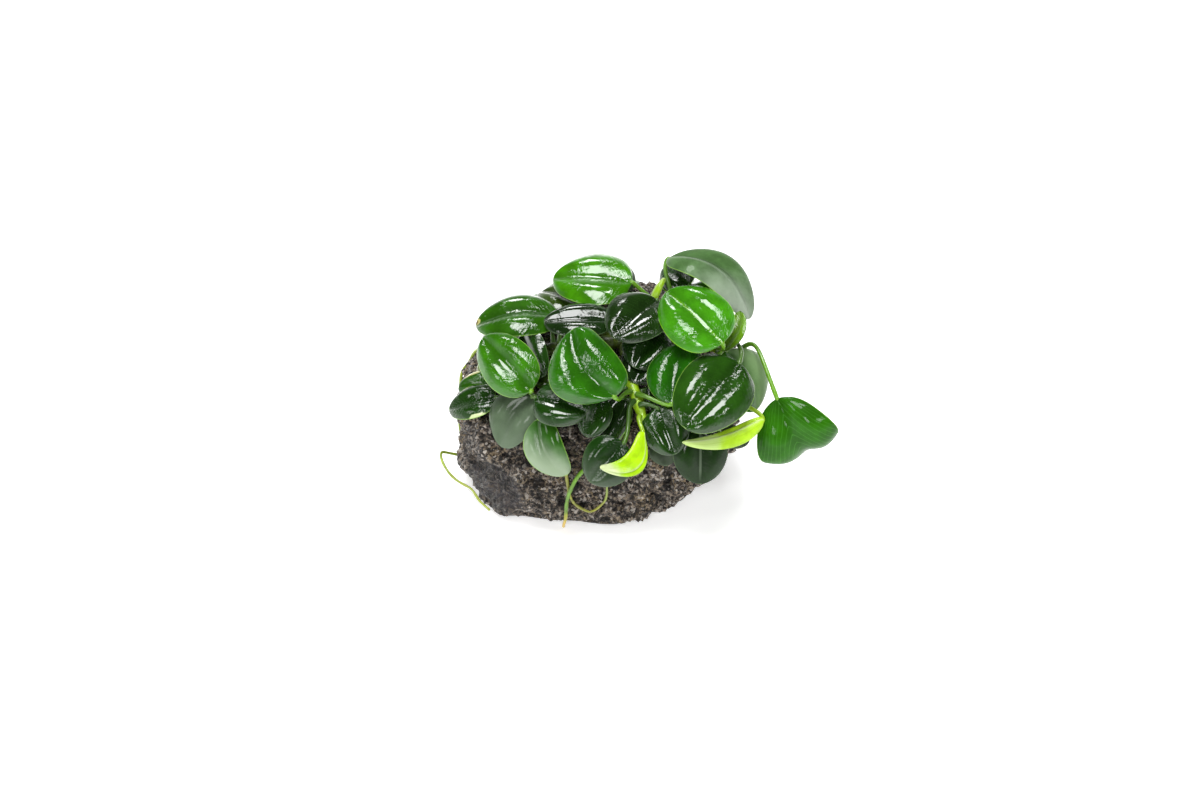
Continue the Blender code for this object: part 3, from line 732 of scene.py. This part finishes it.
def make_stone(settings):
    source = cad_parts["stone"]
    mesh = source.data.copy()
    mesh.name = "stone_block"
    mesh.materials.clear()
    piece = bpy.data.objects.new("stone_block", mesh)
    bpy.context.scene.collection.objects.link(piece)
    shape = bmesh.new()
    shape.from_mesh(mesh)
    bmesh.ops.remove_doubles(shape, verts=shape.verts, dist=WELD)
    while len(shape.faces) < STONE_FACES:
        bmesh.ops.subdivide_edges(shape, edges=shape.edges, cuts=1, use_grid_fill=True, smooth=0.55)
        bmesh.ops.triangulate(shape, faces=[f for f in shape.faces if len(f.verts) > 3])
    shape.normal_update()
    colour = shape.verts.layers.float_color.new("hollow")
    moves = []
    for vert in shape.verts:
        spot = vert.co / MM
        deep = pit(spot, 0.20, 3.0) + pit(spot, 0.42, 11.0) * 0.55
        fine = pit(spot, 0.95, 23.0)
        grain = noise.fractal(spot * 0.8, 1.0, 2.0, 3)
        broad = noise.fractal(spot * 0.14, 1.0, 2.1, 3)
        ridge = abs(noise.noise(spot * 0.23 + Vector((7, 1, 4))))
        inward = settings.pit_depth * (0.55 * min(deep, 1.3) + 0.16 * fine)
        outward = settings.grain * (grain * 0.9 + broad * 2.2 + 1.0 - 4.6 * ridge)
        # Inside the dark hollow the stone is smooth and sunk; the material paints it dark, partly as
        # painted shade.
        dark_hollow = max(0.0, 1 - ((spot - DARK_HOLLOW_PLACE) / DARK_HOLLOW_REACH).length_squared)
        rippled = 2.0 + 0.5 * math.sin((spot.x - spot.z) * 1.1 + 3 * broad)
        outward = outward * (1 - dark_hollow) - dark_hollow * rippled * MM
        base = min(1.0, max(0.0, (spot.z - 0.3) / 2.0))
        moves.append(vert.normal * (outward - inward * (1 - dark_hollow)) * base)
        # The colour layer holds the depth of the deep and the fine pits, for painted shade in them, and the
        # dark hollow.
        vert[colour] = (min(1.0, deep) * (1 - dark_hollow), fine * (1 - dark_hollow), dark_hollow, 1.0)
    for vert, move in zip(shape.verts, moves):
        vert.co += move
        vert.co.z = max(vert.co.z, 0.0)
    shape.to_mesh(mesh)
    shape.free()
    mesh.shade_smooth()
    mesh.materials.append(stone_material(settings))
    settle(piece, "stone")
    return piece


# Materials ------------------------------------------------------------------------------------------


class Nodes:
    """A short way to build one material's node tree."""

    def __init__(self, name):
        self.material = bpy.data.materials.new(name)
        self.material.use_nodes = True
        self.tree = self.material.node_tree
        self.shader = self.tree.nodes["Principled BSDF"]

    def new(self, kind, **settings):
        node = self.tree.nodes.new(kind)
        for key, value in settings.items():
            setattr(node, key, value)
        return node

    def link(self, source, target):
        """Links a socket to the target, or sets the target to a number, colour or vector."""
        if hasattr(source, "is_output"):
            self.tree.links.new(source, target)
        elif isinstance(source, (tuple, list)):
            target.default_value = (*source, 1) if len(source) < len(target.default_value) else source
        else:
            target.default_value = source

    def math(self, operation, *values, clamp=False):
        node = self.new("ShaderNodeMath", operation=operation, use_clamp=clamp)
        for value, socket in zip(values, node.inputs):
            self.link(value, socket)
        return node.outputs[0]

    def times(self, first, second):
        return self.math("MULTIPLY", first, second)

    def plus(self, first, second):
        return self.math("ADD", first, second)

    def ramp(self, value, low, high):
        """0 below low, 1 above high, smooth between. low may be the larger."""
        node = self.new("ShaderNodeMapRange", interpolation_type="SMOOTHSTEP")
        limits = (low, high, 0.0, 1.0) if low < high else (high, low, 1.0, 0.0)
        for setting, socket in zip((value, *limits), node.inputs):
            self.link(setting, socket)
        return node.outputs[0]

    def mix(self, factor, first, second, blend="MIX"):
        node = self.new("ShaderNodeMix", data_type="RGBA", blend_type=blend)
        self.link(factor, node.inputs[0])
        self.link(first, node.inputs[6])
        self.link(second, node.inputs[7])
        return node.outputs[2]

    def uv(self, layer):
        node = self.new("ShaderNodeUVMap", uv_map=layer)
        split = self.new("ShaderNodeSeparateXYZ")
        self.link(node.outputs[0], split.inputs[0])
        return split.outputs[0], split.outputs[1]

    def position(self):
        return self.new("ShaderNodeTexCoord").outputs["Object"]

    def noise(self, vector, scale, detail=2.0, roughness=0.5, distortion=0.0):
        node = self.new("ShaderNodeTexNoise")
        self.link(vector, node.inputs["Vector"])
        self.link(scale, node.inputs["Scale"])
        self.link(detail, node.inputs["Detail"])
        self.link(roughness, node.inputs["Roughness"])
        self.link(distortion, node.inputs["Distortion"])
        return node.outputs[0]

    def cells(self, vector, scale, feature="F1", output="Distance"):
        node = self.new("ShaderNodeTexVoronoi", feature=feature)
        self.link(vector, node.inputs["Vector"])
        self.link(scale, node.inputs["Scale"])
        return node.outputs[output]

    def warped(self, vector, scale, reach):
        """The vector moved about by up to reach, so that cells made from it have uneven edges."""
        noise = self.new("ShaderNodeTexNoise")
        self.link(vector, noise.inputs["Vector"])
        self.link(scale, noise.inputs["Scale"])
        moved = self.new("ShaderNodeVectorMath", operation="MULTIPLY_ADD")
        self.link(noise.outputs["Color"], moved.inputs[0])
        self.link((reach, reach, reach), moved.inputs[1])
        self.link(vector, moved.inputs[2])
        return moved.outputs[0]

    def combine(self, x, y, z=0.0):
        node = self.new("ShaderNodeCombineXYZ")
        for value, socket in zip((x, y, z), node.inputs):
            self.link(value, socket)
        return node.outputs[0]

    def bump(self, height, distance, strength=1.0, after=None):
        node = self.new("ShaderNodeBump")
        self.link(height, node.inputs["Height"])
        self.link(distance, node.inputs["Distance"])
        self.link(strength, node.inputs["Strength"])
        if after is not None:
            self.link(after, node.inputs["Normal"])
        return node.outputs[0]

    def set(self, **values):
        """Sets or links sockets of the shader, named with _ for a space."""
        for key, value in values.items():
            self.link(value, self.shader.inputs[key.replace("_", " ")])


def shade(colour, share):
    return tuple(c * share for c in colour)


def leaf_material(node, look, settings):
    """Waxy blade: veins, midrib with painted shade along it, pale margin, any painted grey sheen and scars,
    under a film of water.
    """
    made = Nodes(f"{node}_upper")
    x, along = made.uv("place")
    edge, rib = made.uv("reach")
    across = made.math("MULTIPLY_ADD", x, 2.0, -1.0)
    aside = made.math("ABSOLUTE", across)
    spot = made.position()

    mottle = made.noise(spot, 170.0, 3.0, 0.55)
    cloud = made.ramp(mottle, 0.3, 0.75)
    colour = made.mix(cloud, shade(look.colour, 0.72), shade(look.colour, 1.22))
    # Painted shade in the sunken midrib: the blade darker towards the midrib.
    painted_groove_shade = made.ramp(rib, 0.30, 0.02)
    colour = made.mix(made.times(painted_groove_shade, 0.5), colour, shade(look.colour, 0.5))

    # Veins leave the midrib at a slant and bend towards the tip.
    wobble = made.times(made.math("SUBTRACT", made.noise(spot, 260.0, 2.0), 0.5), 0.05)
    slant = made.times(made.math("POWER", aside, 1.3), look.lean)
    reach = made.plus(made.math("SUBTRACT", along, slant), wobble)
    wave = made.math("SINE", made.times(reach, 6.28 * look.vein_count))
    vein = made.ramp(wave, 0.80, 1.0)
    minor = made.ramp(made.math("SINE", made.times(reach, 330.0)), 0.2, 1.0)
    veins = made.math("MAXIMUM", vein, made.times(minor, 0.35))
    colour = made.mix(made.times(veins, look.veins), colour,
                      tuple(min(1, c * 1.9 + 0.03) for c in look.colour))

    spine = made.times(made.ramp(rib, 0.055, 0.015), made.ramp(along, 1.0, 0.7))
    colour = made.mix(made.times(spine, look.midrib_strength), colour, look.midrib)

    amount, tilt_across, tilt_along, start = look.sheen
    rough = made.math("MULTIPLY_ADD", mottle, 0.14, 0.22 + 0.14 * (1 - look.gloss))
    # Painted sheen: a grey reflection of the pale surroundings, painted into the colour across and along
    # the blade.
    if amount:
        lean = made.plus(made.times(across, tilt_across), made.times(along, tilt_along))
        lean = made.plus(lean, made.times(made.math("SUBTRACT", mottle, 0.5), 0.35))
        painted_sheen = made.times(made.ramp(lean, start, start + 0.75), amount)
        colour = made.mix(painted_sheen, colour, look.sheen_colour)
        rough = made.math("MULTIPLY_ADD", painted_sheen, 0.2, rough)
    for at_across, at_along, wide, long, scar, brown in look.scars:
        dx = made.math("DIVIDE", made.math("SUBTRACT", across, at_across), wide)
        dy = made.math("DIVIDE", made.math("SUBTRACT", along, at_along), long)
        apart = made.plus(made.times(dx, dx), made.times(dy, dy))
        apart = made.plus(apart, made.times(made.noise(spot, 700.0, 3.0), 1.1))
        patch = made.ramp(apart, 1.45, 1.05)
        colour = made.mix(patch, colour, scar)
        if brown:
            colour = made.mix(made.ramp(apart, 0.95, 0.7), colour, BROWN)

    rim = made.ramp(made.plus(edge, made.times(mottle, 0.020)), 0.044, 0.020)
    colour = made.mix(made.times(rim, made.math("MULTIPLY_ADD", cloud, 0.45, 0.45)), colour, look.rim)

    wet = made.noise(spot, 800.0, 2.0, 0.55, 0.4)
    crackle = made.cells(made.combine(made.times(reach, 30.0), made.times(across, 7.0)), 1.0)
    film = made.plus(made.times(wet, 0.7), made.times(crackle, 0.5))
    film = made.plus(film, made.times(veins, -0.12))
    patches = made.ramp(made.noise(spot, 140.0, 2.0), 0.42, 0.58)
    film = made.times(film, made.math("MULTIPLY_ADD", patches, 0.85, 0.15))
    waxy = made.bump(film, 0.00018, 0.8 * look.gloss)
    made.set(Base_Color=colour, Roughness=rough, Normal=waxy, IOR=1.40, Specular_IOR_Level=0.04,
             Coat_Weight=settings.wetness * look.gloss, Coat_Roughness=0.03, Coat_IOR=1.6, Coat_Normal=waxy)
    return made.material


def shared(name, maker):
    """The material of that name, made the first time it is asked for."""
    return bpy.data.materials.get(name) or maker()


def under_material(settings, group):
    name = f"leaf_underside_{group}"

    def maker():
        made = Nodes(name)
        edge, _ = made.uv("reach")
        x, along = made.uv("place")
        spot = made.position()
        base = tuple(settings.underside) if group == "fresh" else shade(settings.underside, 0.5)
        colour = made.mix(made.noise(spot, 240.0, 3.0), shade(base, 0.7), shade(base, 1.25))
        aside = made.math("ABSOLUTE", made.math("MULTIPLY_ADD", x, 2.0, -1.0))
        reach = made.math("SUBTRACT", along, made.times(made.math("POWER", aside, 1.4), 0.26))
        vein = made.ramp(made.math("SINE", made.times(reach, 105.0)), 0.7, 1.0)
        colour = made.mix(made.times(vein, 0.3), colour, shade(base, 1.9))
        colour = made.mix(made.times(made.ramp(edge, 0.05, 0.02), 0.7), colour, PALE_LIME)
        made.set(Base_Color=colour, Roughness=0.42, Normal=made.bump(vein, 0.0001, 0.6))
        return made.material
    return shared(name, maker)


def stalk_material(group):
    name = f"leaf_stalk_{group}"

    def maker():
        made = Nodes(name)
        x, along = made.uv("place")
        spot = made.position()
        young, old = STALK_COLOURS[group]
        colour = made.mix(made.ramp(along, 0.05, 0.5), old, young)
        stripe = made.noise(made.combine(made.times(x, 9.0), made.times(along, 3.0)), 2.0, 3.0)
        colour = made.mix(made.times(made.ramp(stripe, 0.4, 0.7), 0.35), colour, shade(young, 1.5))
        normal = made.bump(made.plus(stripe, made.noise(spot, 1200.0, 2.0)), 0.0001, 0.35)
        made.set(Base_Color=colour, Roughness=0.3, Normal=normal, Coat_Weight=0.6, Coat_Roughness=0.12,
                 Coat_IOR=1.33, Coat_Normal=normal)
        return made.material
    return shared(name, maker)


def young_material(node, colour, tip_colour, change):
    made = Nodes(f"{node}_sheet")
    wound, along = made.uv("place")
    edge, _ = made.uv("reach")
    spot = made.position()
    mottle = made.noise(spot, 300.0, 3.0)
    base = made.mix(made.ramp(mottle, 0.3, 0.7), shade(colour, 0.8), shade(colour, 1.1))
    lean = made.plus(along, made.times(made.math("SUBTRACT", mottle, 0.5), 0.3))
    base = made.mix(made.ramp(lean, change, change + 0.2), base, tip_colour)
    stripe = made.noise(made.combine(made.times(wound, 26.0), made.times(along, 2.0)), 1.5, 2.0)
    base = made.mix(made.times(made.ramp(stripe, 0.45, 0.7), 0.3), base, shade(colour, 0.6))
    base = made.mix(made.times(made.ramp(edge, 0.05, 0.0), 0.6), base, CREAM)
    normal = made.bump(made.plus(stripe, made.noise(spot, 1000.0, 2.0)), 0.0001, 0.4)
    made.set(Base_Color=base, Roughness=0.3, Normal=normal, Specular_IOR_Level=0.2, Coat_Weight=0.35,
             Coat_Roughness=0.1, Coat_IOR=1.33, Coat_Normal=normal)
    return made.material


def rhizome_material(node, old_share, settings):
    made = Nodes(f"{node}_skin")
    _, along = made.uv("place")
    spot = made.position()
    old, young = tuple(settings.rhizome), tuple(settings.growing_tip)
    mottle = made.noise(spot, 320.0, 4.0, 0.6)
    colour = made.mix(made.ramp(mottle, 0.3, 0.7), shade(old, 0.55), shade(old, 1.5))
    fresh = made.mix(made.ramp(mottle, 0.35, 0.65), shade(young, 0.6), shade(young, 1.1))
    lean = made.plus(along, made.times(made.math("SUBTRACT", mottle, 0.5), 0.4))
    colour = made.mix(made.ramp(lean, old_share - 0.1, old_share + 0.3), colour, fresh)
    scars = made.ramp(made.noise(spot, 900.0, 3.0, 0.65), 0.58, 0.72)
    colour = made.mix(made.times(scars, 0.4), colour, (0.05, 0.035, 0.01))
    normal = made.bump(made.noise(spot, 1100.0, 4.0, 0.6), 0.0003, 0.6)
    made.set(Base_Color=colour, Roughness=0.38, Normal=normal, Coat_Weight=0.5, Coat_Roughness=0.08,
             Coat_IOR=1.4, Coat_Normal=normal)
    return made.material


def root_material(node, colour, end_colour):
    made = Nodes(f"{node}_skin")
    _, along = made.uv("place")
    spot = made.position()
    mottle = made.noise(spot, 420.0, 3.0, 0.6)
    base = made.mix(made.ramp(mottle, 0.3, 0.7), shade(colour, 0.65), shade(colour, 1.25))
    base = made.mix(made.ramp(made.plus(along, made.times(mottle, 0.12)), 0.78, 0.98), base,
                    end_colour)
    specks = made.ramp(made.noise(spot, 1500.0, 3.0), 0.6, 0.7)
    base = made.mix(made.times(specks, 0.4), base, (0.22, 0.14, 0.04))
    normal = made.bump(made.noise(spot, 1600.0, 3.0), 0.00015, 0.5)
    made.set(Base_Color=base, Roughness=0.4, Normal=normal, Coat_Weight=0.3, Coat_Roughness=0.15,
             Coat_IOR=1.33, Coat_Normal=normal)
    return made.material


def stone_material(settings):
    """Dark porous lava, damp, with a glittering grain and mineral stains, and painted shade in its pits and
    its dark hollow.
    """
    made = Nodes("lava_stone")
    spot = made.position()
    dark, light, ochre = tuple(settings.dark), tuple(settings.light), tuple(settings.ochre)
    hollow = made.new("ShaderNodeVertexColor", layer_name="hollow")
    split = made.new("ShaderNodeSeparateColor")
    made.link(hollow.outputs[0], split.inputs[0])
    coarse = made.noise(spot, 130.0, 5.0, 0.65)
    grain = made.noise(spot, 900.0, 5.0, 0.7)
    fine = made.noise(spot, 3200.0, 3.0, 0.7)
    colour = made.mix(made.ramp(grain, 0.43, 0.60), dark, light)
    stain = made.times(made.ramp(coarse, 0.45, 0.65), made.ramp(grain, 0.42, 0.6))
    colour = made.mix(made.times(stain, 0.7), colour, ochre)
    crystals = made.cells(made.warped(spot, 700.0, 0.0007), 1300.0, output="Color")
    tint = made.new("ShaderNodeSeparateColor")
    made.link(crystals, tint.inputs[0])
    # Pale specks: partly pale grains of the stone, partly painted glints.
    pale = made.ramp(tint.outputs[0], 0.82, 0.86)
    colour = made.mix(made.times(pale, 0.8), colour, (0.62, 0.56, 0.50))
    black = made.ramp(tint.outputs[1], 0.60, 0.70)
    colour = made.mix(made.times(black, 0.7), colour, shade(dark, 0.5))
    # Painted shade in the pits: darker where the deep and the fine pits are.
    colour = made.mix(made.times(made.ramp(split.outputs[0], 0.1, 0.8), 0.9), colour, shade(dark, 0.5))
    colour = made.mix(made.times(split.outputs[1], 0.5), colour, shade(dark, 0.6))
    # The dark hollow: near-black streaks, partly the stone's own dark colour and partly painted shade in
    # the recess.
    streaks = made.mix(made.ramp(coarse, 0.42, 0.62), (0.003, 0.003, 0.004), (0.045, 0.040, 0.046))
    colour = made.mix(made.times(made.ramp(split.outputs[2], 0.0, 0.5), 0.75), colour, streaks)
    rough = made.math("MULTIPLY_ADD", made.ramp(tint.outputs[2], 0.25, 0.6), 0.45, 0.22)
    height = made.plus(grain, made.times(fine, 0.35))
    height = made.plus(height, made.times(tint.outputs[2], 0.25))
    facets = made.new("ShaderNodeVectorMath", operation="MULTIPLY_ADD")
    made.link(crystals, facets.inputs[0])
    made.link((1.5, 1.5, 1.5), facets.inputs[1])
    made.link(made.new("ShaderNodeNewGeometry").outputs["Normal"], facets.inputs[2])
    level = made.new("ShaderNodeVectorMath", operation="SUBTRACT")
    made.link(facets.outputs[0], level.inputs[0])
    made.link((0.75, 0.75, 0.75), level.inputs[1])
    tilted = made.new("ShaderNodeVectorMath", operation="NORMALIZE")
    made.link(level.outputs[0], tilted.inputs[0])
    normal = made.bump(height, 0.0012, 1.0, tilted.outputs[0])
    made.set(Base_Color=colour, Roughness=rough, Normal=normal, IOR=1.5, Specular_IOR_Level=0.35,
             Coat_Weight=0.15, Coat_Roughness=0.1, Coat_Normal=normal)
    return made.material


# Operators ------------------------------------------------------------------------------------------


class ANUBIAS_OT_stone(bpy.types.Operator):
    """Make the pitted lava stone"""
    bl_idname = "anubias.stone"
    bl_label = "Stone"

    def execute(self, context):
        make_stone(context.scene.anubias_stone)
        return {"FINISHED"}


class ANUBIAS_OT_rhizome(bpy.types.Operator):
    """Make the creeping rhizome and its branches"""
    bl_idname = "anubias.rhizome"
    bl_label = "Rhizome"

    def execute(self, context):
        for node, old_share in RHIZOMES.items():
            make_rhizome(node, old_share, context.scene.anubias_roots)
        return {"FINISHED"}


class ANUBIAS_OT_roots(bpy.types.Operator):
    """Make the hanging roots"""
    bl_idname = "anubias.roots"
    bl_label = "Roots"

    def execute(self, context):
        for node, look in ROOTS.items():
            make_root(node, look)
        return {"FINISHED"}


class ANUBIAS_OT_leaves(bpy.types.Operator):
    """Make the grown leaves with their stalks"""
    bl_idname = "anubias.leaves"
    bl_label = "Grown Leaves"

    def execute(self, context):
        for node, look in LEAVES.items():
            make_leaf(node, look, context.scene.anubias_leaves)
        return {"FINISHED"}


class ANUBIAS_OT_young_leaves(bpy.types.Operator):
    """Make the young leaves, which are still rolled"""
    bl_idname = "anubias.young_leaves"
    bl_label = "Young Leaves"

    def execute(self, context):
        for node, look in YOUNG_LEAVES.items():
            make_young_leaf(node, look)
        return {"FINISHED"}


class ANUBIAS_OT_stage(bpy.types.Operator):
    """Make the floor, the lights and the camera"""
    bl_idname = "anubias.stage"
    bl_label = "Stage"

    def execute(self, context):
        stage = context.scene.anubias_stage
        add_floor(tuple(stage.floor))
        add_world(context.scene)
        for name, (direction, setting, share, spread) in LIGHTS.items():
            add_sun(name, direction, getattr(stage, setting) * share, spread)
        add_camera(context.scene, stage)
        context.scene.view_settings.view_transform = "Standard"
        return {"FINISHED"}


def add_floor(colour):
    mesh = bpy.data.meshes.new("floor")
    mesh.from_pydata([(-4, -4, 0), (4, -4, 0), (4, 4, 0), (-4, 4, 0)], [], [(0, 1, 2, 3)])
    floor = bpy.data.objects.new("floor", mesh)
    floor.location.z = -0.0001
    bpy.context.scene.collection.objects.link(floor)
    made = Nodes("floor_paper")
    spot = made.position()
    tone = made.mix(made.noise(spot, 3.0, 2.0), shade(colour, 0.985), colour)
    made.set(Base_Color=tone, Roughness=0.9, Emission_Color=(1.0, 1.0, 1.0), Emission_Strength=0.55)
    mesh.materials.append(made.material)


def add_world(scene):
    """Pale all round, and darker overhead, so that dark leaves stay dark between their highlights."""
    world = bpy.data.worlds.new("studio")
    world.use_nodes = True
    scene.world = world
    tree = world.node_tree
    background = tree.nodes["Background"]
    place = tree.nodes.new("ShaderNodeTexCoord")
    split = tree.nodes.new("ShaderNodeSeparateXYZ")
    ramp = tree.nodes.new("ShaderNodeMapRange")
    mix = tree.nodes.new("ShaderNodeMix")
    mix.data_type = "RGBA"
    tree.links.new(place.outputs["Generated"], split.inputs[0])
    tree.links.new(split.outputs[2], ramp.inputs[0])
    ramp.inputs[1].default_value = 0.05
    ramp.inputs[2].default_value = 0.45
    tree.links.new(ramp.outputs[0], mix.inputs[0])
    mix.inputs[6].default_value = (1.0, 1.0, 1.0, 1)
    mix.inputs[7].default_value = (0.04, 0.04, 0.04, 1)
    tree.links.new(mix.outputs[2], background.inputs[0])
    background.inputs[1].default_value = 1.0


def add_sun(name, direction, strength, spread):
    """A soft round light from far away in that direction."""
    lamp = bpy.data.lights.new(name, "SUN")
    lamp.energy = strength
    lamp.angle = math.radians(spread)
    light = bpy.data.objects.new(name, lamp)
    light.rotation_euler = Vector(direction).to_track_quat("Z", "Y").to_euler()
    light.location = Vector(direction)
    bpy.context.scene.collection.objects.link(light)


def add_camera(scene, stage):
    data = bpy.data.cameras.new("camera")
    data.lens = 85
    data.sensor_width = 36
    data.clip_start = 0.01
    data.clip_end = 20
    camera = bpy.data.objects.new("camera", data)
    height = stage.view_height
    back = Vector((0, -math.cos(height), math.sin(height)))
    camera.location = Vector((0, 0, stage.aim_height)) + back * stage.view_distance
    camera.rotation_euler = back.to_track_quat("Z", "Y").to_euler()
    scene.collection.objects.link(camera)
    scene.camera = camera


class ANUBIAS_PT_panel(bpy.types.Panel):
    """Lists the pieces and their settings"""
    bl_idname = "ANUBIAS_PT_panel"
    bl_label = "Anubias on Stone"
    bl_space_type = "VIEW_3D"
    bl_region_type = "UI"
    bl_category = "Anubias"

    def draw(self, context):
        scene = context.scene
        for group, operators in ((scene.anubias_stone, (ANUBIAS_OT_stone,)),
                                 (scene.anubias_roots, (ANUBIAS_OT_rhizome, ANUBIAS_OT_roots)),
                                 (scene.anubias_leaves, (ANUBIAS_OT_leaves, ANUBIAS_OT_young_leaves)),
                                 (scene.anubias_stage, (ANUBIAS_OT_stage,))):
            box = self.layout.box()
            for prop in group.bl_rna.properties:
                if prop.identifier not in ("rna_type", "name"):
                    box.prop(group, prop.identifier)
            for operator in operators:
                box.operator(operator.bl_idname)


SETTINGS = {"anubias_leaves": LeafSettings, "anubias_roots": RootSettings, "anubias_stone": StoneSettings,
            "anubias_stage": StageSettings}
OPERATORS = (ANUBIAS_OT_stone, ANUBIAS_OT_rhizome, ANUBIAS_OT_roots, ANUBIAS_OT_leaves,
             ANUBIAS_OT_young_leaves, ANUBIAS_OT_stage)


def register():
    for cls in (*SETTINGS.values(), *OPERATORS, ANUBIAS_PT_panel):
        bpy.utils.register_class(cls)
    for name, group in SETTINGS.items():
        setattr(bpy.types.Scene, name, PointerProperty(type=group))


def unregister():
    for name in SETTINGS:
        delattr(bpy.types.Scene, name)
    for cls in reversed((*SETTINGS.values(), *OPERATORS, ANUBIAS_PT_panel)):
        bpy.utils.unregister_class(cls)


def main():
    register()
    bpy.ops.anubias.stone()
    bpy.ops.anubias.rhizome()
    bpy.ops.anubias.roots()
    bpy.ops.anubias.leaves()
    bpy.ops.anubias.young_leaves()
    bpy.ops.anubias.stage()


if __name__ == "__main__":
    main()
